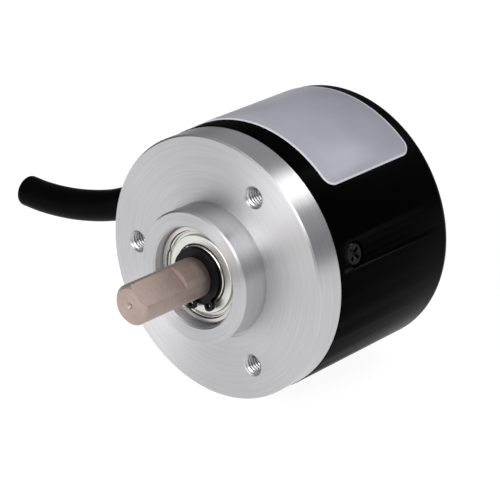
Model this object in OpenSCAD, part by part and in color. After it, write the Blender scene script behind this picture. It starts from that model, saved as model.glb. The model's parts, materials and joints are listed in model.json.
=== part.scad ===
// Incremental rotary encoder of the 40 mm class, with a solid shaft and a radial cable.
// The axis runs along Y. The origin is the centre of the mounting face on the axis.
// The shaft points to -Y, the cover lies towards +Y, and +Z is up. Millimetres.
// Inside the modules, local z is the depth behind the mounting face, and an angle is
// counted as seen from the shaft end, from +X towards +Z.

/* [Body] */
// Outer diameter of the flange and the cover
body_d = 40; // [39.5:0.25:41]
// Depth from the mounting face to the rear face
body_l = 30; // [29.5:0.25:33]
// Thickness of the flange's rim
flange_t = 4.7; // [3.8:0.1:4.8]
// Radius of the cover's rear edge
cover_edge_r = 1.6; // [1.6:0.1:2.5]

/* [Mounting] */
// Diameter of the pilot boss
pilot_d = 20; // [19:0.5:21]
// Height of the pilot boss
pilot_h = 4.5; // [4.4:0.1:5.5]
// Pitch circle of the mounting holes
mount_pcd = 30; // [29:0.5:30.5]
// Thread diameter of the mounting holes
mount_hole_d = 3; // [2.5:0.5:3]
// Depth of the mounting holes
mount_hole_depth = 5; // [4:0.25:5.5]

/* [Shaft] */
// Reach of the shaft in front of the mounting face
shaft_reach = 17.4; // [15:0.1:22]
// Length of the flat on the shaft
flat_l = 8.7; // [6:0.1:9]
// Size of the shaft across its flat
flat_across = 5.25; // [4.5:0.05:5.5]
// Angle that the flat faces
flat_angle = 53; // [0:1:359]

/* [Cable] */
// Diameter of the cable's jacket
cable_d = 5; // [4:0.1:5]
// Depth of the cable outlet behind the mounting face
outlet_depth = 13; // [12.8:0.1:13.2]

/* [Code disc] */
// Diameter of the code disc
disc_d = 26.4; // [26:0.1:26.6]
// Number of slits in the code disc
disc_slits = 60; // [24:6:90]

/* [Hidden] */
$fn = 72;
body_r = body_d / 2;
pilot_r = pilot_d / 2;
shaft_r = 3;
edge = 0.25;
flange_r = body_r - 0.1;
relief_w = 0.4;
relief_d = 0.12;
fit_gap = 0.02;

// Ball bearings, 6 x 15 x 5
bearing_r = 7.5;
bearing_w = 5;
bearing_edge = 0.3;
seat_r = bearing_r + 0.01;
ball_r = 1.15;
ball_pitch_r = 5.25;
balls = 7;
raceway_r = ball_r + 0.1;
front_bearing_z = -pilot_h + 1.55;
rear_bearing_z = 7.2;
inner_ring_r = 4.45;
outer_land_r = 6.05;
shield_seat_r = 6.75;
shield_r = 6.7;
shield_bore_r = 4.65;
shield_t = 0.25;
shield_depth = 0.75;
shield_rise = 0.6;
shield_step_r = 5.9;
snap_depth = 0.4;
snap_wire_r = 0.17;
snap_gap = 9;
snap_gap_angle = 161;

// Flange, behind the mounting face
spigot_r = 18.4;
spigot_in_r = 16.5;
spigot_z = 10.2;
pocket_z = 6.5;
hub_r = 8.9;
hub_z = rear_bearing_z + bearing_w + 0.4;
shoulder_r = 6;
spring_room = 1.2;
spring_r = [6.35, 7.3];
spring_t = 0.25;
spring_waves = 3;
spring_swing = (spring_room - spring_t) / 2 - 0.03;
groove_z = 5.3;
groove_w = 1.2;
groove_r = 17.45;
ring_section_r = 0.5;

// Cover
cover_in_r = spigot_r + 0.1;
cover_wall = body_r - cover_in_r;
cover_in_edge_r = max(cover_edge_r - cover_wall, 0.1);
screw_angles = [15, 135, 255];
screw_z = 8.3;
screw_r = 1;
recess_r = 1.9;
recess_floor_r = body_r - 0.95;

// Label, on the top of the cover
label_angles = [44, 128];
label_z = [8.1, 27];
label_corner = 1.8;
label_t = 0.16;

// Shaft train
shaft_z = [-shaft_reach, 17.6];
clip_t = 0.7;
shim_t = 0.3;
shim_r = 4.3;
clip_z = front_bearing_z - shim_t - clip_t;
clip_groove_r = 2.85;
clip_angle = 280;
disc_hub_z = rear_bearing_z + bearing_w;
disc_z = 16;
disc_t = 0.3;
disc_hub_r = 6.5;
disc_spigot_r = 4;
clamp_z = disc_z + disc_t;
clamp_t = 0.7;
clamp_r = 6.3;
clamp_screw_pcr = 5.2;
clamp_screw_r = 0.8;
clamp_screw_angles = [60, 180, 300];
set_screw_angles = [0, 120];
set_screw_z = 14.2;
set_screw_r = 1;
track_r = [10.7, 12.7];
index_r = [9.5, 10.3];

// Optics, in line above the disc's track
optic_angle = 90;
optic_r = 11.6;
holder_z = 14.8;
holder_x = [9.3, 15];
ear_z = 8.5;
ear_screw = [13.2, 4.3];
led_r = 1.5;
led_z = 8.3;
lens_r = 1.95;
lens_z = 13.2;
lead_r = 0.2;
lead_pitch = 1.27;
lead_x = 15.6;
reticle_z = 16.8;
detector_z = 17.3;

// Circuit board and what is on it
board_z = 18.6;
board_t = 1.6;
board_r = 17.5;
board_back = board_z + board_t;
notch_x = [-18.5, -13.4];
notch_w = 7.6;
post_pcr = 15;
post_angles = [30, 150, 270];
post_r = 1.25;
small_screw_r = 0.78;

// Cable
cable_r = cable_d / 2;
outlet_r = 4;
cable_end_x = -15.9;
nose_x = -23.5;
cable_sides = 10;
cable_route = [[cable_end_x, outlet_depth, 0], [nose_x, outlet_depth, 0], [-28, 13, -1],
    [-33, 13, -3], [-38, 13, -4.4], [-43, 13, -5.3], [-48, 13, -5.7], [-52, 13, -5.6]];
wire_r = 0.34;
wire_pitch = 0.8;
header_pitch = 1.5;
header_x = [-12, -8.2];
header_h = 4.2;
wire_colours = ["black", "white", "orange", "saddlebrown", "royalblue"];

// ---- Shared shapes ----

// Turns local z into the depth behind the mounting face
module along_axis() {
    rotate([-90, 0, 0]) children();
}

// Turns local x to an angle seen from the shaft end
module at_angle(angle) {
    rotate([0, 0, -angle]) children();
}

// Points local z outwards at a radius, a depth and an angle
module radially(r, z, angle) {
    at_angle(angle) translate([r, 0, z]) rotate([0, 90, 0]) children();
}

// Cylinder between two depths
module rod(r, z0, z1) {
    translate([0, 0, z0]) cylinder(r = r, h = z1 - z0);
}

// Rod with a chamfer at each end
module chamfered_rod(r, z0, z1, c0, c1) {
    rotate_extrude() polygon([[0, z0], [r - c0, z0], [r, z0 + c0], [r, z1 - c1], [r - c1, z1], [0, z1]]);
}

// Hollow cylinder between two depths
module tube(r_out, r_in, z0, z1) {
    rotate_extrude() polygon([[r_in, z0], [r_out, z0], [r_out, z1], [r_in, z1]]);
}

// Tube whose outer edges are chamfered
module chamfered_tube(r_out, r_in, z0, z1, c) {
    rotate_extrude() polygon([[r_in, z0], [r_out - c, z0], [r_out, z0 + c], [r_out, z1 - c],
        [r_out - c, z1], [r_in, z1]]);
}

// Box from one corner to the other
module box(low, high) {
    translate(low) cube(high - low);
}

// Pan-head screw: the head's seat is at z = 0 and the shank runs down
module pan_screw(head_r, head_h, shank_r, shank_l) {
    difference() {
        union() {
            chamfered_rod(head_r, 0, head_h, 0, head_h / 3);
            chamfered_rod(shank_r, -shank_l, 0.01, shank_r / 4, 0);
        }
        for (turn = [45, 135])
            rotate([0, 0, turn]) translate([0, 0, head_h])
                cube([head_r * 1.3, head_r * 0.28, head_h], center = true);
        translate([0, 0, head_h * 0.45]) cylinder(r1 = head_r * 0.12, r2 = head_r * 0.42, h = head_h * 0.56);
    }
}

// Round wire through a list of points, with a ball at each bend
module bent_wire(points, r) {
    for (i = [1 : len(points) - 1]) {
        run = points[i] - points[i - 1];
        translate(points[i - 1]) rotate([0, acos(run[2] / norm(run)), atan2(run[1], run[0])])
            cylinder(r = r, h = norm(run), $fn = 24);
    }
    for (i = [1 : len(points) - 2])
        translate(points[i]) sphere(r = r, $fn = 24);
}

// Direction of a route at point i
function route_step(points, i) = points[min(i + 1, len(points) - 1)] - points[max(i - 1, 0)];

// Ring of points across a route at point i; up keeps the rings from turning
function route_ring(points, i, r, sides, up) =
    let (ahead = route_step(points, i) / norm(route_step(points, i)),
        across = cross(ahead, up) / norm(cross(ahead, up)), other = cross(ahead, across))
    [for (k = [0 : sides - 1])
        points[i] + r * cos(k * 360 / sides) * across + r * sin(k * 360 / sides) * other];

// Round tube swept along a route as one closed solid
module swept_tube(points, r, sides, up) {
    last = len(points) - 1;
    rings = [for (i = [0 : last]) each route_ring(points, i, r, sides, up)];
    ends = [[for (k = [0 : sides - 1]) k], [for (k = [sides - 1 : -1 : 0]) last * sides + k]];
    walls = [for (i = [0 : last - 1], k = [0 : sides - 1])
        let (next = (k + 1) % sides)
        [i * sides + k, (i + 1) * sides + k, (i + 1) * sides + next, i * sides + next]];
    polyhedron(rings, concat(ends, walls), convexity = 4);
}

// ---- Housing ----

module flange_profile() {
    polygon([[seat_r, -pilot_h + edge], [seat_r + edge, -pilot_h], [pilot_r - edge, -pilot_h],
        [pilot_r, -pilot_h + edge], [pilot_r, relief_d],
        [pilot_r + relief_w, relief_d], [pilot_r + relief_w, 0],
        [flange_r - edge, 0], [flange_r, edge], [flange_r, flange_t - edge / 2],
        [flange_r - edge / 2, flange_t], [spigot_r, flange_t],
        [spigot_r, groove_z], [groove_r, groove_z], [groove_r, groove_z + groove_w],
        [spigot_r, groove_z + groove_w], [spigot_r, spigot_z - edge], [spigot_r - edge, spigot_z],
        [spigot_in_r, spigot_z], [spigot_in_r, pocket_z], [hub_r, pocket_z], [hub_r, hub_z - edge],
        [hub_r - edge, hub_z], [seat_r + edge, hub_z], [seat_r, hub_z - edge],
        [seat_r, rear_bearing_z - spring_room], [shoulder_r, rear_bearing_z - spring_room],
        [shoulder_r, front_bearing_z + bearing_w], [seat_r, front_bearing_z + bearing_w]]);
}

module mounting_hole() {
    hole_r = mount_hole_d / 2;
    rod(hole_r, -0.1, mount_hole_depth);
    translate([0, 0, mount_hole_depth - 0.01]) cylinder(r1 = hole_r, r2 = 0, h = hole_r / 2);
    translate([0, 0, -0.01]) cylinder(r1 = hole_r + 0.22, r2 = hole_r, h = 0.22);
}

module flange() {
    color("silver") along_axis() difference() {
        rotate_extrude() flange_profile();
        for (angle = [60, 180, 300])
            at_angle(angle) translate([mount_pcd / 2, 0, 0]) mounting_hole();
        for (angle = screw_angles)
            radially(spigot_in_r - 1, screw_z, angle) cylinder(r = screw_r, h = 4);
        for (angle = post_angles)
            at_angle(angle) translate([post_pcr, 0, 0]) rod(0.8, pocket_z - 2, pocket_z + 1);
        for (side = [-1, 1])
            at_angle(optic_angle) translate([ear_screw[0], side * ear_screw[1], 0])
                rod(0.8, pocket_z - 2, pocket_z + 1);
        radially(spigot_in_r - 1, outlet_depth, 180) cylinder(r = outlet_r + 0.8, h = 4);
    }
}

// Outline of a lidded cup with a rounded rim edge, for turning
module cup_outline(r, depth, edge_r) {
    square([r, depth - edge_r]);
    square([r - edge_r, depth]);
    translate([r - edge_r, depth - edge_r]) circle(r = edge_r);
}

module cover() {
    color("#141416") along_axis() difference() {
        translate([0, 0, flange_t]) rotate_extrude() difference() {
            cup_outline(body_r, body_l - flange_t, cover_edge_r);
            translate([0, -0.01])
                cup_outline(cover_in_r, body_l - flange_t - cover_wall, cover_in_edge_r);
        }
        translate([0, 0, flange_t - 0.01]) cylinder(r1 = cover_in_r + edge, r2 = cover_in_r, h = edge);
        for (angle = screw_angles) {
            radially(cover_in_r - 1, screw_z, angle) cylinder(r = screw_r + 0.15, h = 4);
            radially(recess_floor_r, screw_z, angle) cylinder(r = recess_r, h = 4);
        }
        radially(cover_in_r - 1, outlet_depth, 180) cylinder(r = outlet_r, h = 4);
    }
}

// Outline of the label laid flat, as [distance round the cover from its top, depth]
function label_outline() =
    let (right = (90 - label_angles[0]) * PI / 180 * body_r - label_corner,
        left = (90 - label_angles[1]) * PI / 180 * body_r + label_corner,
        low = label_z[0] + label_corner, high = label_z[1] - label_corner)
    [for (corner = [[right, high, 0], [left, high, 90], [left, low, 180], [right, low, 270]],
        turn = [0 : 9 : 90])
        [corner[0], corner[1]] + label_corner * [cos(corner[2] + turn), sin(corner[2] + turn)]];

// Thin shell on the cover, cut to the outline from straight above
module label() {
    outline = [for (p = label_outline()) [body_r * sin(p[0] / body_r * 180 / PI), p[1]]];
    color("#a6a6b0") intersection() {
        along_axis() tube(body_r + label_t, body_r + 0.01, label_z[0] - 1, label_z[1] + 1);
        linear_extrude(body_r + 2) polygon(outline);
    }
}

module cover_screws() {
    color("#1c1c1e") along_axis() for (angle = screw_angles)
        radially(recess_floor_r, screw_z, angle)
            pan_screw(recess_r - 0.2, 0.75, screw_r - fit_gap, recess_floor_r - spigot_in_r - 0.2);
}

module cover_o_ring() {
    color("#202020") along_axis() translate([0, 0, groove_z + groove_w / 2])
        rotate_extrude() translate([groove_r + ring_section_r + 0.025, 0]) circle(r = ring_section_r);
}

// ---- Ball bearings: local z runs from the bearing's front face to its rear face ----

module raceway() {
    translate([0, 0, bearing_w / 2]) rotate_extrude() translate([ball_pitch_r, 0]) circle(r = raceway_r);
}

module bearing_outer_ring() {
    mouth_r = shield_seat_r - 0.08;
    color("#b9b6b4") difference() {
        rotate_extrude() polygon([[mouth_r, 0], [bearing_r - bearing_edge, 0],
            [bearing_r, bearing_edge], [bearing_r, bearing_w - bearing_edge],
            [bearing_r - bearing_edge, bearing_w], [mouth_r, bearing_w],
            [mouth_r, bearing_w - snap_depth], [shield_seat_r, bearing_w - snap_depth],
            [shield_seat_r, bearing_w - 1], [outer_land_r, bearing_w - 1], [outer_land_r, 1],
            [shield_seat_r, 1], [shield_seat_r, snap_depth], [mouth_r, snap_depth]]);
        raceway();
    }
}

module bearing_inner_ring() {
    color("#b9b6b4") difference() {
        chamfered_tube(inner_ring_r, shaft_r + 0.01, 0, bearing_w, 0.15);
        raceway();
    }
}

module place_balls(r) {
    for (i = [0 : balls - 1])
        rotate([0, 0, i * 360 / balls]) translate([ball_pitch_r, 0, bearing_w / 2]) sphere(r = r);
}

module bearing_balls() {
    color("#d8d8dc") place_balls(ball_r);
}

module bearing_cage() {
    color("#c9a24a") difference() {
        tube(5.75, 4.75, 2, bearing_w - 1.05);
        place_balls(ball_r + 0.06);
    }
}

// Pressed shields: a lip in the outer ring's seat, and a middle that stands nearer the face
module bearing_shields() {
    top = shield_depth - shield_rise;
    low = shield_depth + shield_t;
    color("#c4c4be") for (side = [0, 1])
        translate([0, 0, side * bearing_w]) mirror([0, 0, side]) rotate_extrude()
            polygon([[shield_bore_r, top], [shield_step_r - 0.1, top], [shield_step_r, top + 0.1],
                [shield_step_r, shield_depth], [shield_r, shield_depth], [shield_r, low],
                [shield_step_r - shield_t, low], [shield_step_r - shield_t, top + shield_t],
                [shield_bore_r, top + shield_t]]);
}

// Spring wires that hold the shields, each with a gap
module bearing_snap_wires() {
    depth = shield_depth - snap_wire_r - fit_gap;
    color("#d0cfcd") for (z = [depth, bearing_w - depth])
        translate([0, 0, z]) at_angle(snap_gap_angle) rotate([0, 0, snap_gap / 2])
            rotate_extrude(angle = 360 - snap_gap)
                translate([shield_seat_r - snap_wire_r - 0.1, 0]) circle(r = snap_wire_r, $fn = 24);
}

module at_front_bearing() {
    along_axis() translate([0, 0, front_bearing_z]) children();
}

module at_rear_bearing() {
    along_axis() translate([0, 0, rear_bearing_z]) children();
}

module front_bearing_outer_ring() {
    at_front_bearing() bearing_outer_ring();
}

module front_bearing_inner_ring() {
    at_front_bearing() bearing_inner_ring();
}

module front_bearing_balls() {
    at_front_bearing() bearing_balls();
}

module front_bearing_cage() {
    at_front_bearing() bearing_cage();
}

module front_bearing_shields() {
    at_front_bearing() bearing_shields();
}

module front_bearing_snap_wires() {
    at_front_bearing() bearing_snap_wires();
}

module rear_bearing_outer_ring() {
    at_rear_bearing() bearing_outer_ring();
}

module rear_bearing_inner_ring() {
    at_rear_bearing() bearing_inner_ring();
}

module rear_bearing_balls() {
    at_rear_bearing() bearing_balls();
}

module rear_bearing_cage() {
    at_rear_bearing() bearing_cage();
}

module rear_bearing_shields() {
    at_rear_bearing() bearing_shields();
}

module rear_bearing_snap_wires() {
    at_rear_bearing() bearing_snap_wires();
}

// Wave spring between the flange's shoulder and the rear bearing's outer ring
function wave_ring(angle) =
    let (low = rear_bearing_z - spring_room / 2 + spring_swing * cos(spring_waves * angle) - spring_t / 2)
    [for (p = [[spring_r[0], 0], [spring_r[1], 0], [spring_r[1], spring_t], [spring_r[0], spring_t]])
        [p[0] * cos(angle), p[0] * sin(angle), low + p[1]]];

module preload_spring() {
    steps = 48;
    rings = [for (i = [0 : steps - 1]) each wave_ring(i * 360 / steps)];
    walls = [for (i = [0 : steps - 1], k = [0 : 3])
        let (here = i * 4, ahead = (i + 1) % steps * 4, next = (k + 1) % 4)
        [here + k, ahead + k, ahead + next, here + next]];
    color("#8f9094") along_axis() polyhedron(rings, walls, convexity = 6);
}

// ---- Shaft train ----

module shaft() {
    color("#a89a90") along_axis() difference() {
        chamfered_rod(shaft_r, shaft_z[0], shaft_z[1], 0.5, 0.3);
        tube(shaft_r + 1, clip_groove_r, clip_z - 0.05, clip_z + clip_t + 0.05);
        at_angle(flat_angle) box([flat_across - shaft_r, -shaft_r - 1, shaft_z[0] - 1],
            [shaft_r + 1, shaft_r + 1, shaft_z[0] + flat_l]);
        translate([0, 0, shaft_z[0] - 0.01]) cylinder(r1 = 0.55, r2 = 0, h = 0.5);
    }
}

module circlip_outline() {
    lug = [4.4, 22];
    difference() {
        union() {
            translate([-0.08, 0]) circle(r = 4.12);
            for (side = [-1, 1])
                rotate(side * lug[1]) translate([lug[0], 0]) circle(r = 0.98, $fn = 32);
        }
        circle(r = clip_groove_r + 0.01);
        for (side = [-1, 1])
            rotate(side * lug[1]) translate([lug[0] + 0.1, 0]) circle(r = 0.42, $fn = 24);
        polygon([[0, 0], [6, -1.35], [6, 1.35]]);
    }
}

module shaft_circlip() {
    color("#1a1a1c") along_axis() translate([0, 0, clip_z])
        at_angle(clip_angle) linear_extrude(clip_t) circlip_outline();
}

module shim_washer() {
    color("#242426") along_axis() tube(shim_r, shaft_r + 0.05, clip_z + clip_t, front_bearing_z);
}

module disc_hub() {
    color("#c8c8ca") along_axis() difference() {
        rotate_extrude() polygon([[shaft_r + 0.01, disc_hub_z], [3.9, disc_hub_z], [3.9, disc_hub_z + 0.6],
            [disc_hub_r - edge, disc_hub_z + 0.6], [disc_hub_r, disc_hub_z + 0.6 + edge],
            [disc_hub_r, disc_z], [disc_spigot_r, disc_z], [disc_spigot_r, clamp_z + clamp_t],
            [shaft_r + 0.01, clamp_z + clamp_t]]);
        for (angle = set_screw_angles)
            radially(shaft_r - 1, set_screw_z, angle) cylinder(r = set_screw_r, h = 6);
        for (angle = clamp_screw_angles)
            at_angle(angle) translate([clamp_screw_pcr, 0, 0]) rod(clamp_screw_r, disc_z - 2.6, disc_z + 1);
    }
}

module hub_set_screws() {
    color("#2c2c30") along_axis() for (angle = set_screw_angles)
        radially(shaft_r + fit_gap, set_screw_z, angle) difference() {
            chamfered_rod(set_screw_r - fit_gap, 0, 3, 0.3, 0.1);
            translate([0, 0, 1.8]) cylinder(r = 0.5, h = 2, $fn = 6);
        }
}

module code_disc() {
    slit = 180 / disc_slits;
    color("#b0b4b8") along_axis() translate([0, 0, disc_z]) linear_extrude(disc_t) difference() {
        circle(r = disc_d / 2);
        circle(r = disc_spigot_r + fit_gap);
        for (angle = clamp_screw_angles)
            rotate(-angle) translate([clamp_screw_pcr, 0]) circle(r = clamp_screw_r + 0.1, $fn = 24);
        for (i = [0 : disc_slits - 1])
            rotate(i * 2 * slit) slit_outline(track_r, slit);
        slit_outline(index_r, slit);
    }
}

module slit_outline(span, angle) {
    polygon([for (r = span, side = r == span[0] ? [-1, 1] : [1, -1])
        [r * cos(angle / 2), side * r * sin(angle / 2)]]);
}

module disc_clamp_ring() {
    color("#c8c8ca") along_axis() difference() {
        chamfered_tube(clamp_r, disc_spigot_r + fit_gap, clamp_z, clamp_z + clamp_t, 0.15);
        for (angle = clamp_screw_angles)
            at_angle(angle) translate([clamp_screw_pcr, 0, 0])
                rod(clamp_screw_r + 0.1, clamp_z - 1, clamp_z + clamp_t + 1);
    }
}

module clamp_ring_screws() {
    color("#9a9a9e") along_axis() for (angle = clamp_screw_angles)
        at_angle(angle) translate([clamp_screw_pcr, 0, clamp_z + clamp_t])
            pan_screw(1.05, 0.55, small_screw_r, 3);
}

// ---- Optics ----

module led_holder() {
    color("#26262a") along_axis() at_angle(optic_angle) difference() {
        union() {
            box([holder_x[0], -2.9, pocket_z], [holder_x[1], 2.9, holder_z]);
            box([ear_screw[0] - 1.8, -5.6, pocket_z], [holder_x[1], 5.6, ear_z]);
        }
        translate([optic_r, 0, 0]) rod(lens_r + 0.05, led_z, holder_z + 1);
        for (side = [-1, 1])
            translate([ear_screw[0], side * ear_screw[1], 0]) rod(0.9, pocket_z - 1, ear_z + 1);
        box([optic_r - 1, -1, pocket_z + 0.5], [holder_x[1] + 1, 1, led_z + 0.01]);
    }
}

module led_holder_screws() {
    color("#9a9a9e") along_axis() at_angle(optic_angle) for (side = [-1, 1])
        translate([ear_screw[0], side * ear_screw[1], ear_z]) pan_screw(1.2, 0.7, small_screw_r, 3.8);
}

module led_emitter() {
    color("#e8d8d8") along_axis() at_angle(optic_angle) translate([optic_r, 0, led_z]) {
        rod(led_r + 0.25, 0, 0.6);
        rod(led_r, 0.5, 3);
        intersection() {
            translate([0, 0, 3]) sphere(r = led_r);
            rod(led_r, 2.5, 5);
        }
    }
}

module led_leads() {
    z = pocket_z + 1;
    color("#c0c0c4") along_axis() at_angle(optic_angle) for (side = [-1, 1])
        bent_wire([[optic_r, side * lead_pitch / 2, led_z], [optic_r, side * lead_pitch / 2, z],
            [lead_x, side * lead_pitch / 2, z], [lead_x, side * lead_pitch / 2, board_back + 0.6]], lead_r);
}

// Plano-convex lens in the mouth of the holder
module collimating_lens() {
    dome_r = 4;
    color("#d8ecf4") along_axis() at_angle(optic_angle) translate([optic_r, 0, lens_z]) intersection() {
        rod(lens_r, 0, 2);
        translate([0, 0, 1.5 - dome_r]) sphere(r = dome_r);
    }
}

module reticle() {
    color("#7c6a50") along_axis() at_angle(optic_angle) difference() {
        box([optic_r - 2.2, -2.4, reticle_z], [optic_r + 2, 2.4, detector_z]);
        for (i = [-3 : 3])
            at_angle(i * 180 / disc_slits) box([track_r[0] + 0.2, -0.15, reticle_z - 1],
                [track_r[1] - 0.2, 0.15, detector_z + 1]);
    }
}

module photodetector() {
    color("#30303a") along_axis() at_angle(optic_angle) {
        box([optic_r - 2.4, -2.6, detector_z], [optic_r + 2.2, 2.6, board_z - 0.1]);
        for (side = [-1, 1], x = [-1.9 : 1.2 : 1.7])
            translate([optic_r + x, side * 2.9, board_z]) box([-0.2, -0.5, -0.25], [0.2, 0.5, 0]);
    }
}

// ---- Circuit board ----

module circuit_board() {
    color("#1e5a34") along_axis() difference() {
        rod(board_r, board_z, board_back);
        box([notch_x[0], -notch_w / 2, board_z - 1], [notch_x[1], notch_w / 2, board_back + 1]);
        for (angle = post_angles)
            at_angle(angle) translate([post_pcr, 0, 0]) rod(0.95, board_z - 1, board_back + 1);
        for (side = [-1, 1])
            at_angle(optic_angle) translate([lead_x, side * lead_pitch / 2, 0])
                rod(lead_r + 0.05, board_z - 1, board_back + 1);
    }
}

module board_posts() {
    color("#c8a858") along_axis() for (angle = post_angles)
        at_angle(angle) translate([post_pcr, 0, 0]) difference() {
            union() {
                rod(post_r, pocket_z, board_z);
                chamfered_rod(small_screw_r, pocket_z - 1.8, pocket_z + 0.1, 0.2, 0);
            }
            rod(0.8, board_z - 4, board_z + 1);
        }
}

module board_screws() {
    color("#9a9a9e") along_axis() for (angle = post_angles)
        at_angle(angle) translate([post_pcr, 0, board_back]) pan_screw(1.5, 0.9, small_screw_r, 4.6);
}

// Packaged chip with a row of bent leads along two sides
module chip(length, width, height, leads) {
    pitch = 1.27;
    box([-length / 2, -width / 2, 0.1], [length / 2, width / 2, height]);
    for (side = [-1, 1], i = [0 : leads - 1])
        translate([(i - (leads - 1) / 2) * pitch, 0, 0]) mirror([0, side < 0 ? 1 : 0, 0]) {
            box([-0.2, width / 2 - 0.01, height / 2 - 0.1], [0.2, width / 2 + 0.5, height / 2 + 0.1]);
            box([-0.2, width / 2 + 0.3, 0], [0.2, width / 2 + 0.5, height / 2]);
            box([-0.2, width / 2 + 0.3, 0], [0.2, width / 2 + 1, 0.2]);
        }
}

module driver_chip() {
    color("#1c1c20") along_axis() translate([2.5, 3.2, board_back]) chip(8.7, 3.9, 1.6, 7);
}

module regulator() {
    color("#1c1c20") along_axis() translate([-3.5, -7.5, board_back]) chip(4.6, 3.9, 1.6, 3);
}

module board_capacitors() {
    color("#b8bac0") along_axis() for (place = [[5.5, -6.5], [10.8, -3.5]])
        translate([place[0], place[1], board_back]) {
            box([-2.1, -2.1, 0], [2.1, 2.1, 0.8]);
            chamfered_rod(2, 0.7, 5.2, 0, 0.25);
        }
}

module board_resistors() {
    color("#2a2a30") along_axis() for (i = [0 : 5])
        translate([-2.8 + i * 2.2, 9.2, board_back]) box([-0.4, -0.8, 0], [0.4, 0.8, 0.45]);
}

module wire_header() {
    half = 2 * header_pitch + 1.5;
    color("#e6e2d6") along_axis() difference() {
        box([header_x[0], -half, board_back], [header_x[1], half, board_back + header_h]);
        box([header_x[0] + 0.6, -half + 0.6, board_back + header_h - 0.8],
            [header_x[1] - 0.6, half - 0.6, board_back + header_h + 1]);
    }
}

// One conductor from the cable's end, through the board's notch, to the header
module lead_wire(i) {
    side = i - 2;
    y = board_back + 2.2;
    color(wire_colours[i]) swept_tube([[cable_end_x, outlet_depth, wire_pitch * side],
        [-15.2, outlet_depth, wire_pitch * side], [-14.8, outlet_depth + 0.3, 0.8 * side],
        [-14.7, outlet_depth + 1, 0.8 * side], [-14.8, 16, 0.9 * side], [-14.8, board_back, 1.2 * side],
        [-14.6, y - 0.8, 1.4 * side], [-14.2, y - 0.2, 1.5 * side], [-13.6, y, header_pitch * side],
        [header_x[0], y, header_pitch * side]], wire_r, 8, [0, 0, 1]);
}

module lead_wire_black() {
    lead_wire(0);
}

module lead_wire_white() {
    lead_wire(1);
}

module lead_wire_orange() {
    lead_wire(2);
}

module lead_wire_brown() {
    lead_wire(3);
}

module lead_wire_blue() {
    lead_wire(4);
}

// ---- Cable ----

// Turned parts on the cable's axis: local z is the distance from the encoder's axis
module on_outlet() {
    along_axis() radially(0, outlet_depth, 180) children();
}

module cable_grommet() {
    bore_r = cable_r + 0.05;
    nose = -nose_x;
    color("#18181a") difference() {
        union() {
            intersection() {
                on_outlet() tube(outlet_r + 0.6, bore_r, 17, 19);
                along_axis() rod(cover_in_r - fit_gap, 0, body_l);
            }
            on_outlet() tube(outlet_r - fit_gap, bore_r, 17.2, 20.2);
            difference() {
                on_outlet() rotate_extrude() polygon([[bore_r, 19], [outlet_r + 0.7, 19],
                    [outlet_r + 0.7, 21], [outlet_r + 0.3, 21.4], [outlet_r - 0.4, 21.4],
                    [cable_r + 0.7, nose], [bore_r, nose]]);
                along_axis() rod(body_r + fit_gap, 0, body_l);
            }
        }
    }
}

module cable_crimp() {
    color("#b8b4a8") on_outlet() tube(cable_r + 0.55, cable_r + fit_gap, -cable_end_x, 16.95);
}

module cable_jacket() {
    color("#101012") swept_tube(cable_route, cable_r, cable_sides, [0, 1, 0]);
}

flange();
cover();
label();
cover_screws();
cover_o_ring();
front_bearing_outer_ring();
front_bearing_inner_ring();
front_bearing_balls();
front_bearing_cage();
front_bearing_shields();
front_bearing_snap_wires();
rear_bearing_outer_ring();
rear_bearing_inner_ring();
rear_bearing_balls();
rear_bearing_cage();
rear_bearing_shields();
rear_bearing_snap_wires();
preload_spring();
shaft();
shaft_circlip();
shim_washer();
disc_hub();
hub_set_screws();
code_disc();
disc_clamp_ring();
clamp_ring_screws();
led_holder();
led_holder_screws();
led_emitter();
led_leads();
collimating_lens();
reticle();
photodetector();
circuit_board();
board_posts();
board_screws();
driver_chip();
regulator();
board_capacitors();
board_resistors();
wire_header();
lead_wire_black();
lead_wire_white();
lead_wire_orange();
lead_wire_brown();
lead_wire_blue();
cable_grommet();
cable_crimp();
cable_jacket();
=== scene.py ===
import json
import math

import bmesh
import bpy
from mathutils import Matrix, Vector


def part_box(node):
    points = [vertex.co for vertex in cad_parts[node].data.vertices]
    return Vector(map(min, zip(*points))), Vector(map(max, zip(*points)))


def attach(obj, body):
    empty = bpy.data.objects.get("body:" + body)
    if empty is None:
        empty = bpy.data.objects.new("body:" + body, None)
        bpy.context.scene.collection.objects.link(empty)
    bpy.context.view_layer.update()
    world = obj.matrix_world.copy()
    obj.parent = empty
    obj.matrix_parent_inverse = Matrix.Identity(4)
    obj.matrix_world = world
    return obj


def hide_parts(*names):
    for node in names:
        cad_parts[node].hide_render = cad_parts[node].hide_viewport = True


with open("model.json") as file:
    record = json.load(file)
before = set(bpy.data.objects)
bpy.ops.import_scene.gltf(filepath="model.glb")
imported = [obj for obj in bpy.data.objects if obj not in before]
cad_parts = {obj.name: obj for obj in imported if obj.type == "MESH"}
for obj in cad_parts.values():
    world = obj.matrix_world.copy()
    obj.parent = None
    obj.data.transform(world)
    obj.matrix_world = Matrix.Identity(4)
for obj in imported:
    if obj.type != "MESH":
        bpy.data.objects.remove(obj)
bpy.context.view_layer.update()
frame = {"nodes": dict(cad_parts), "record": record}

MM = 0.001

# The camera stands at this azimuth and elevation, and looks a little past the origin
CAMERA_AZIMUTH = math.radians(41.06)
CAMERA_ELEVATION = math.radians(23.15)
CAMERA_ROLL = math.radians(0.35)
CAMERA_DISTANCE = 338.6 * MM
CAMERA_RIGHT = 5.22 * MM
CAMERA_UP = 2.68 * MM
CAMERA_LENS = 169.6

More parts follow.
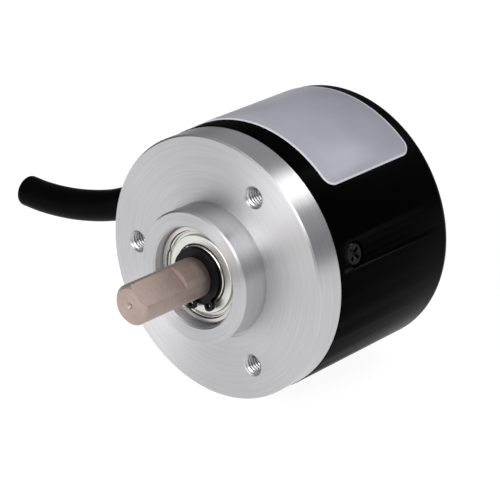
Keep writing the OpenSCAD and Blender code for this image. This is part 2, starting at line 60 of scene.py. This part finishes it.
# The cable's route as in part.scad: every point lies at one depth, as (x, z)
CABLE_DEPTH = 13.0 * MM
CABLE_ROUTE = [(-15.9, 0.0), (-23.5, 0.0), (-28.0, -1.0), (-33.0, -3.0), (-38.0, -4.4),
               (-43.0, -5.3), (-48.0, -5.7), (-52.0, -5.6)]
CABLE_DIAMETER = 5.0 * MM

MOUNT_ANGLES = (60.0, 180.0, 300.0)
MOUNT_CIRCLE_RADIUS = 15.0 * MM
BODY_RADIUS = 20.0 * MM
LABEL_CORNER = 1.8 * MM

# The floor, and the air by height: (sine of the elevation, colour)
FLOOR_HALF = 4.0
FLOOR_BASE = 0.16
FLOOR_GLOW = 0.93
AIR_STEPS = ((0.0, (0.42, 0.41, 0.45)), (0.3, (0.42, 0.41, 0.45)), (0.36, (0.8, 0.8, 0.82)),
             (1.0, (0.55, 0.55, 0.58)))
AIR_STRENGTH = 0.6

# Soft lights that face the origin: name, place, size and power
LIGHTS = (("key_light", (0.12, -0.85, 0.52), (1.3, 0.45), 4.4),
          ("back_light", (0.35, 0.6, 0.75), (0.5, 0.3), 2.5),
          ("low_light", (0.0, -0.8, 0.14), (0.45, 0.28), 3.0))


# ---- Camera, floor and light ----

def add_camera():
    data = bpy.data.cameras.new("camera")
    data.lens = CAMERA_LENS
    data.clip_start = 10 * MM
    camera = bpy.data.objects.new("camera", data)
    bpy.context.scene.collection.objects.link(camera)
    a, e = CAMERA_AZIMUTH, CAMERA_ELEVATION
    back = Vector((math.sin(a) * math.cos(e), -math.cos(a) * math.cos(e), math.sin(e)))
    level = Vector((math.cos(a), math.sin(a), 0.0))
    right = level * math.cos(CAMERA_ROLL) + back.cross(level) * math.sin(CAMERA_ROLL)
    up = back.cross(right)
    camera.location = back * CAMERA_DISTANCE + right * CAMERA_RIGHT + up * CAMERA_UP
    camera.rotation_euler = Matrix((right, up, back)).transposed().to_euler()
    bpy.context.scene.camera = camera


def add_light(name, place, size, power):
    data = bpy.data.lights.new(name, "AREA")
    data.shape = "RECTANGLE"
    data.size, data.size_y = size
    data.energy = power
    light = bpy.data.objects.new(name, data)
    bpy.context.scene.collection.objects.link(light)
    light.location = place
    light.rotation_euler = (-Vector(place)).to_track_quat("-Z", "Y").to_euler()


def add_studio():
    """A white floor, air that is dimmer round the horizon and far to the left, and the lights."""
    lowest = min(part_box(name)[0].z for name in ("flange", "cover"))
    mesh = bpy.data.meshes.new("studio_floor")
    corners = [(x * FLOOR_HALF, y * FLOOR_HALF, lowest) for x, y in ((-1, -1), (1, -1), (1, 1), (-1, 1))]
    mesh.from_pydata(corners, [], [(0, 1, 2, 3)])
    floor = bpy.data.objects.new("studio_floor", mesh)
    bpy.context.scene.collection.objects.link(floor)
    paper = Graph("studio_paper")
    paper.set({"Base Color": (FLOOR_BASE, FLOOR_BASE, FLOOR_BASE, 1), "Roughness": 1.0,
               "Specular IOR Level": 0.0, "Emission Color": (1, 1, 1, 1), "Emission Strength": FLOOR_GLOW})
    mesh.materials.append(paper.material)
    world = bpy.data.worlds.new("studio_air")
    world.use_nodes = True
    bpy.context.scene.world = world
    nodes, links = world.node_tree.nodes, world.node_tree.links
    place = nodes.new("ShaderNodeTexCoord")
    parts = nodes.new("ShaderNodeSeparateXYZ")
    links.new(place.outputs["Generated"], parts.inputs[0])
    ramp = nodes.new("ShaderNodeValToRGB")
    links.new(parts.outputs["Z"], ramp.inputs[0])
    steps = ramp.color_ramp.elements
    for step, (_, colour) in zip((steps[0], steps[1]), (AIR_STEPS[0], AIR_STEPS[-1])):
        step.color = (*colour, 1)
    for height, colour in AIR_STEPS[1:-1]:
        steps.new(height).color = (*colour, 1)
    side = nodes.new("ShaderNodeMapRange")
    side.inputs["From Min"].default_value = -0.95
    side.inputs["From Max"].default_value = -0.62
    side.inputs["To Min"].default_value = 0.3
    links.new(parts.outputs["X"], side.inputs["Value"])
    dim = nodes.new("ShaderNodeVectorMath")
    dim.operation = "MULTIPLY"
    links.new(ramp.outputs[0], dim.inputs[0])
    links.new(side.outputs[0], dim.inputs[1])
    links.new(dim.outputs[0], nodes["Background"].inputs["Color"])
    nodes["Background"].inputs["Strength"].default_value = AIR_STRENGTH
    for light in LIGHTS:
        add_light(*light)
    bpy.context.scene.view_settings.view_transform = "Standard"


# ---- Shared mesh and node tools ----

def add_mesh(name, bm, material, smooth=True):
    mesh = bpy.data.meshes.new(name)
    bmesh.ops.recalc_face_normals(bm, faces=bm.faces)
    bm.to_mesh(mesh)
    bm.free()
    for face in mesh.polygons:
        face.use_smooth = smooth
    piece = bpy.data.objects.new(name, mesh)
    bpy.context.scene.collection.objects.link(piece)
    mesh.materials.append(material)
    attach(piece, "housing")
    return piece


class Graph:
    """A material's node tree round one Principled shader."""

    def __init__(self, name):
        self.material = bpy.data.materials.new(name)
        self.material.use_nodes = True
        self.nodes = self.material.node_tree.nodes
        self.links = self.material.node_tree.links
        self.shader = self.nodes["Principled BSDF"]
        self.place = self.nodes.new("ShaderNodeTexCoord").outputs["Object"]

    def node(self, kind, inputs=(), **settings):
        made = self.nodes.new("ShaderNode" + kind)
        for key, value in settings.items():
            setattr(made, key, value)
        self.fill(made, dict(inputs))
        return made

    def fill(self, node, inputs):
        for key, value in inputs.items():
            if isinstance(value, bpy.types.NodeSocket):
                self.links.new(value, node.inputs[key])
            else:
                node.inputs[key].default_value = value

    def set(self, inputs):
        self.fill(self.shader, inputs)

    def maths(self, operation, *values):
        return self.node("Math", enumerate(values), operation=operation).outputs[0]

    def noise(self, vector, scale, detail=3.0, roughness=0.5):
        inputs = {"Vector": vector, "Scale": scale, "Detail": detail, "Roughness": roughness}
        return self.node("TexNoise", inputs).outputs["Fac"]

    def between(self, factor, low, high):
        inputs = {"Value": factor, "To Min": low, "To Max": high}
        return self.node("MapRange", inputs).outputs[0]

    def shades(self, factor, dark, light):
        ramp = self.node("ValToRGB", {"Fac": factor})
        ramp.color_ramp.elements[0].color = (*dark, 1)
        ramp.color_ramp.elements[1].color = (*light, 1)
        ramp.color_ramp.elements[0].position = 0.3
        ramp.color_ramp.elements[1].position = 0.7
        return ramp.outputs[0]

    def bump(self, height, strength, distance):
        inputs = {"Height": height, "Strength": strength, "Distance": distance}
        return self.node("Bump", inputs).outputs[0]

    def round_place(self):
        """Radius, angle and depth of a point about the encoder's axis."""
        parts = self.node("SeparateXYZ", {"Vector": self.place}).outputs
        flat = self.node("CombineXYZ", {"X": parts["X"], "Z": parts["Z"]}).outputs[0]
        radius = self.node("VectorMath", {0: flat}, operation="LENGTH").outputs["Value"]
        return radius, self.maths("ARCTAN2", parts["Z"], parts["X"]), parts["Y"]

    def ring_vector(self, per_mm, round_share):
        """A vector that varies fast across the turning lines and slowly along them."""
        radius, angle, depth = self.round_place()
        inputs = {"X": self.maths("MULTIPLY", radius, per_mm / MM),
                  "Y": self.maths("MULTIPLY", depth, per_mm / MM),
                  "Z": self.maths("MULTIPLY", angle, round_share)}
        return self.node("CombineXYZ", inputs).outputs[0]


def brighter(colour, factor):
    return tuple(min(1.0, c * factor) for c in colour)


# ---- Materials ----

def turned_metal(name, colour, roughness, anisotropy, lines_per_mm=9.0, depth=0.0015):
    """Metal turned on a lathe: fine rings about the axis and a fan-shaped sheen."""
    g = Graph(name)
    rings = g.noise(g.ring_vector(lines_per_mm, 0.5), 1.0, 4.0, 0.6)
    cloud = g.noise(g.place, 160.0, 2.0)
    tangent = g.node("Tangent", direction_type="RADIAL", axis="Y").outputs[0]
    g.set({"Base Color": g.shades(g.noise(g.ring_vector(lines_per_mm * 0.4, 1.5), 1.0, 2.0),
                                  brighter(colour, 0.93), brighter(colour, 1.04)),
           "Metallic": 1.0, "Anisotropic": anisotropy, "Anisotropic Rotation": 0.25, "Tangent": tangent,
           "Roughness": g.between(cloud, roughness - 0.04, roughness + 0.05),
           "Normal": g.bump(rings, 0.35, depth * MM)})
    return g.material


def plain_metal(name, colour, roughness, grain=900.0):
    """Drawn, plated or pressed metal with a fine even grain."""
    g = Graph(name)
    fine = g.noise(g.place, grain, 4.0, 0.6)
    g.set({"Base Color": g.shades(g.noise(g.place, grain * 0.2), brighter(colour, 0.88), brighter(colour, 1.08)),
           "Metallic": 1.0, "Roughness": g.between(fine, roughness - 0.06, roughness + 0.08),
           "Normal": g.bump(fine, 0.12, 0.01 * MM)})
    return g.material


def black_finish(name, colour, roughness, specular, grain=1500.0, depth=0.006):
    """Paint or black oxide: dark, with a slight orange peel."""
    g = Graph(name)
    peel = g.noise(g.place, grain, 3.0, 0.55)
    cloud = g.noise(g.place, 120.0, 2.0)
    g.set({"Base Color": g.shades(cloud, brighter(colour, 0.8), brighter(colour, 1.3)),
           "Roughness": g.between(cloud, roughness - 0.03, roughness + 0.04),
           "Specular IOR Level": specular, "Normal": g.bump(peel, 0.25, depth * MM)})
    return g.material


def moulded(name, colour, roughness, grain=1200.0, transmission=0.0):
    """Moulded plastic or rubber with a fine surface grain."""
    g = Graph(name)
    fine = g.noise(g.place, grain, 4.0, 0.6)
    g.set({"Base Color": g.shades(g.noise(g.place, grain * 0.15), brighter(colour, 0.9), brighter(colour, 1.1)),
           "Roughness": g.between(fine, roughness - 0.06, roughness + 0.06),
           "Transmission Weight": transmission, "Normal": g.bump(fine, 0.2, 0.01 * MM)})
    return g.material


def label_film(name):
    """Grey film with a painted highlight: a thin lighter band that follows the label's outline, standing in for
    light caught on its edge.
    """
    g = Graph(name)
    low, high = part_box("label")
    parts = g.node("SeparateXYZ", {"Vector": g.place}).outputs
    along = g.maths("MULTIPLY", g.maths("ARCTAN2", parts["X"], parts["Z"]), BODY_RADIUS)
    left, right = (math.asin(x / BODY_RADIUS) * BODY_RADIUS for x in (low.x, high.x))
    beyond = []
    for value, first, last in ((along, left, right), (parts["Y"], low.y, high.y)):
        from_middle = g.maths("ABSOLUTE", g.maths("SUBTRACT", value, (first + last) / 2))
        beyond.append(g.maths("SUBTRACT", from_middle, (last - first) / 2 - LABEL_CORNER))
    outside = g.node("CombineXYZ", {"X": g.maths("MAXIMUM", beyond[0], 0.0),
                                    "Y": g.maths("MAXIMUM", beyond[1], 0.0)})
    round_part = g.node("VectorMath", {0: outside.outputs[0]}, operation="LENGTH").outputs["Value"]
    inner_part = g.maths("MINIMUM", g.maths("MAXIMUM", *beyond), 0.0)
    edge = g.maths("SUBTRACT", g.maths("ADD", round_part, inner_part), LABEL_CORNER)
    # Painted edge highlight: a thin lighter band just inside the label's outline, in place of light caught on the
    # edge
    painted_edge_highlight = g.node("MapRange", {"Value": edge, "From Min": -0.32 * MM, "From Max": -0.26 * MM}).outputs[0]
    film = g.shades(g.noise(g.place, 220.0, 3.0), (0.38, 0.38, 0.435), (0.42, 0.42, 0.475))
    # The light grey mixed over the film here is the painted edge highlight, not the film's own colour
    mix = g.node("Mix", {0: painted_edge_highlight, 6: film, 7: (0.70, 0.70, 0.74, 1)}, data_type="RGBA")
    fine = g.noise(g.place, 2500.0, 2.0)
    g.set({"Base Color": mix.outputs[2], "Roughness": g.between(fine, 0.36, 0.44),
           "Specular IOR Level": 0.5, "Normal": g.bump(fine, 0.1, 0.004 * MM)})
    return g.material


def board_laminate(name):
    """Green solder mask over a pattern of straight tracks."""
    g = Graph(name)
    tracks = g.node("TexBrick", {"Vector": g.place, "Scale": 260.0, "Mortar Size": 0.04,
                                 "Color1": (0.012, 0.075, 0.03, 1), "Color2": (0.014, 0.09, 0.035, 1),
                                 "Mortar": (0.03, 0.17, 0.07, 1)})
    g.set({"Base Color": tracks.outputs["Color"], "Roughness": 0.3, "Coat Weight": 0.3,
           "Normal": g.bump(tracks.outputs["Fac"], 0.2, 0.02 * MM)})
    return g.material


def make_materials():
    return {
        "machined_aluminium": turned_metal("turned_aluminium", (0.54, 0.54, 0.55), 0.36, 0.82),
        "black_cover": black_finish("satin_black_paint", (0.0005, 0.0005, 0.0007), 0.3, 0.015),
        "label_film": label_film("blank_label_film"),
        "black_screw": black_finish("black_oxide", (0.003, 0.003, 0.0034), 0.3, 0.14, 2500.0),
        "black_rubber": moulded("black_rubber", (0.012, 0.012, 0.013), 0.55),
        "bearing_steel": turned_metal("ground_bearing_steel", (0.66, 0.63, 0.62), 0.22, 0.4),
        "polished_balls": plain_metal("polished_balls", (0.75, 0.75, 0.77), 0.12),
        "cage_resin": moulded("cage_resin", (0.62, 0.44, 0.18), 0.45),
        "shield_steel": turned_metal("pressed_shield_steel", (0.74, 0.74, 0.70), 0.36, 0.3),
        "spring_wire": plain_metal("spring_wire", (0.70, 0.69, 0.68), 0.25),
        "shaft_steel": turned_metal("ground_shaft_steel", (0.43, 0.345, 0.31), 0.58, 0.15, 6.0),
        "black_spring_steel": black_finish("black_phosphate", (0.0025, 0.0025, 0.003), 0.32, 0.14, 2200.0),
        "hub_aluminium": turned_metal("hub_aluminium", (0.66, 0.66, 0.68), 0.32, 0.5),
        "disc_steel": turned_metal("etched_disc", (0.55, 0.57, 0.60), 0.18, 0.3),
        "bright_screw": plain_metal("zinc_plate", (0.60, 0.60, 0.62), 0.28),
        "black_resin": moulded("black_resin", (0.015, 0.015, 0.017), 0.5),
        "clear_resin": moulded("clear_resin", (0.85, 0.75, 0.78), 0.12, transmission=0.6),
        "tinned_lead": plain_metal("tinned_wire", (0.66, 0.66, 0.68), 0.3),
        "optical_glass": moulded("optical_glass", (0.92, 0.97, 0.99), 0.07, transmission=0.9),
        "reticle_film": moulded("reticle_film", (0.20, 0.14, 0.07), 0.2),
        "chip_resin": moulded("chip_resin", (0.02, 0.02, 0.023), 0.6),
        "board_laminate": board_laminate("solder_mask"),
        "brass": plain_metal("turned_brass", (0.75, 0.55, 0.24), 0.28),
        "can_aluminium": plain_metal("drawn_can", (0.66, 0.66, 0.70), 0.3),
        "header_nylon": moulded("natural_nylon", (0.74, 0.71, 0.60), 0.5),
        "wire_black": moulded("wire_black", (0.01, 0.01, 0.01), 0.4),
        "wire_white": moulded("wire_white", (0.80, 0.80, 0.77), 0.4),
        "wire_orange": moulded("wire_orange", (0.80, 0.20, 0.02), 0.4),
        "wire_brown": moulded("wire_brown", (0.14, 0.05, 0.02), 0.4),
        "wire_blue": moulded("wire_blue", (0.02, 0.08, 0.42), 0.4),
        "cable_pvc": black_finish("cable_pvc", (0.001, 0.001, 0.0012), 0.42, 0.02, 1800.0, 0.01),
    }


# ---- The cable ----

def smooth_route(points, steps):
    """Points of a smooth curve through a list of points."""
    padded = [points[0] * 2 - points[1], *points, points[-1] * 2 - points[-2]]
    line = []
    for a, b, c, d in zip(padded, padded[1:], padded[2:], padded[3:]):
        for k in range(steps):
            t = k / steps
            line.append(0.5 * (2 * b + (c - a) * t + (2 * a - 5 * b + 4 * c - d) * t ** 2
                               + (3 * b - a - 3 * c + d) * t ** 3))
    line.append(points[-1])
    return line


def sweep(bm, rings, sides):
    """Joins rings of points into a closed tube; each ring is (centre, direction, radius)."""
    loops = []
    for centre, direction, radius in rings:
        across = Vector((0, 1, 0))
        other = direction.cross(across).normalized()
        turns = [2 * math.pi * k / sides for k in range(sides)]
        loops.append([bm.verts.new(centre + radius * (math.cos(t) * across + math.sin(t) * other)) for t in turns])
    for a, b in zip(loops, loops[1:]):
        for k in range(sides):
            bm.faces.new((a[k - 1], a[k], b[k], b[k - 1]))
    bm.faces.new(loops[0])
    bm.faces.new(loops[-1])


def add_cable(materials):
    line = smooth_route([Vector((x * MM, CABLE_DEPTH, z * MM)) for x, z in CABLE_ROUTE], 5)
    ways = [(b - a).normalized() for a, b in zip([line[0], *line], [*line[1:], line[-1]])]
    ways[0] = (line[1] - line[0]).normalized()
    radius = CABLE_DIAMETER / 2
    end, way = line[-1], ways[-1]
    wall, hollow = 0.75 * MM, 0.9 * MM
    rings = [(p, w, radius) for p, w in zip(line[:-1], ways[:-1])]
    rings += [(end - way * 0.12 * MM, way, radius), (end - way * 0.03 * MM, way, radius - 0.04 * MM),
              (end, way, radius - 0.12 * MM), (end, way, radius - wall), (end - way * hollow, way, radius - wall)]
    bm = bmesh.new()
    sweep(bm, rings, 64)
    jacket = add_mesh("cable_sheath", bm, materials["cable_pvc"])
    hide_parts("cable_jacket")
    cores = add_cable_cores(materials, end, way, radius - wall, hollow)


def add_cable_cores(materials, end, way, room, hollow):
    """The shield and the five conductors that show at the cable's cut end."""
    start = end - way * hollow
    bm = bmesh.new()
    loops = [(start, way, room - 0.02 * MM), (end - way * 0.1 * MM, way, room - 0.02 * MM),
             (end - way * 0.1 * MM, way, room - 0.16 * MM), (start, way, room - 0.16 * MM)]
    sweep(bm, loops, 48)
    cores = [add_mesh("cable_shield", bm, materials["spring_wire"])]
    across, other = Vector((0, 1, 0)), way.cross(Vector((0, 1, 0))).normalized()
    core_radius, pitch_radius = 0.46 * MM, 0.9 * MM
    for i, colour in enumerate(("black", "white", "orange", "brown", "blue")):
        turn = 2 * math.pi * i / 5
        offset = pitch_radius * (math.cos(turn) * across + math.sin(turn) * other)
        bm = bmesh.new()
        sweep(bm, [(start + offset, way, core_radius), (end + offset - way * 0.08 * MM, way, core_radius),
                   (end + offset - way * 0.04 * MM, way, core_radius - 0.05 * MM),
                   (end + offset - way * 0.04 * MM, way, 0.26 * MM),
                   (end + offset - way * 0.2 * MM, way, 0.26 * MM)], 24)
        slot = "wire_" + colour
        cores.append(add_mesh("cable_core_" + colour, bm, materials[slot]))
        bm = bmesh.new()
        for k in range(7):
            swing = 2 * math.pi * k / 6
            spread = (0.17 * MM if k else 0.0) * (math.cos(swing) * across + math.sin(swing) * other)
            middle = offset + spread
            sweep(bm, [(end + middle - way * 0.4 * MM, way, 0.08 * MM),
                       (end + middle - way * 0.03 * MM, way, 0.08 * MM),
                       (end + middle - way * 0.01 * MM, way, 0.06 * MM)], 10)
        cores.append(add_mesh("cable_strands_" + colour, bm, materials["brass"]))
    return cores


# ---- The mounting holes' threads ----

def add_threads(materials):
    """A helical ridge in each tapped hole, a little deeper in the wall than the hole's radius."""
    pitch, depth, root, crest = 0.5 * MM, 4.9 * MM, 1.51 * MM, 1.24 * MM
    steps = 40
    count = int(depth / pitch * steps)
    for number, angle in enumerate(MOUNT_ANGLES):
        turned = math.radians(angle)
        centre = MOUNT_CIRCLE_RADIUS * Vector((math.cos(turned), 0, math.sin(turned)))
        bm = bmesh.new()
        loops = []
        for i in range(count + 1):
            turn = 2 * math.pi * i / steps
            depth_here = (0.22 + i / steps * 0.5) * MM
            fade = min(1.0, i / steps / 0.6, (count - i) / steps / 0.6)
            tip = root + (crest - root) * fade
            out = Vector((math.cos(turn), 0, math.sin(turn)))
            profile = ((root, -0.21), (tip, -0.035), (tip, 0.035), (root, 0.21))
            loops.append([bm.verts.new(centre + out * r + Vector((0, depth_here + y * MM, 0))) for r, y in profile])
        for a, b in zip(loops, loops[1:]):
            for k in range(4):
                bm.faces.new((a[k - 1], a[k], b[k], b[k - 1]))
        bm.faces.new(loops[0])
        bm.faces.new(loops[-1])
        add_mesh("mounting_thread_%d" % (number + 1), bm, materials["machined_aluminium"],
                 smooth=False)


# ---- The CAD nodes' finish ----

# Nodes whose sharp edges are broken, with the width in mm
SOFT_EDGES = {"shaft": 0.16, "shaft_circlip": 0.06, "shim_washer": 0.04, "cover_screws": 0.05,
              "label": 0.04, "cover": 0.06, "cable_grommet": 0.12, "front_bearing_shields": 0.04,
              "front_bearing_outer_ring": 0.05, "front_bearing_inner_ring": 0.05}


def finish_nodes(materials):
    for entry in frame["record"]["subparts"]:
        node = frame["nodes"][entry["node"]]
        node.data.materials.clear()
        node.data.materials.append(materials[entry["material_slot"]])
    for name, width in SOFT_EDGES.items():
        node = frame["nodes"][name]
        weld = node.modifiers.new("weld", "WELD")
        weld.merge_threshold = 0.0005 * MM
        bevel = node.modifiers.new("bevel", "BEVEL")
        bevel.width = width * MM
        bevel.segments = 2
        bevel.limit_method = "ANGLE"
        bevel.angle_limit = math.radians(35)
        bevel.harden_normals = True


add_camera()
materials = make_materials()
add_cable(materials)
add_studio()
add_threads(materials)
finish_nodes(materials)
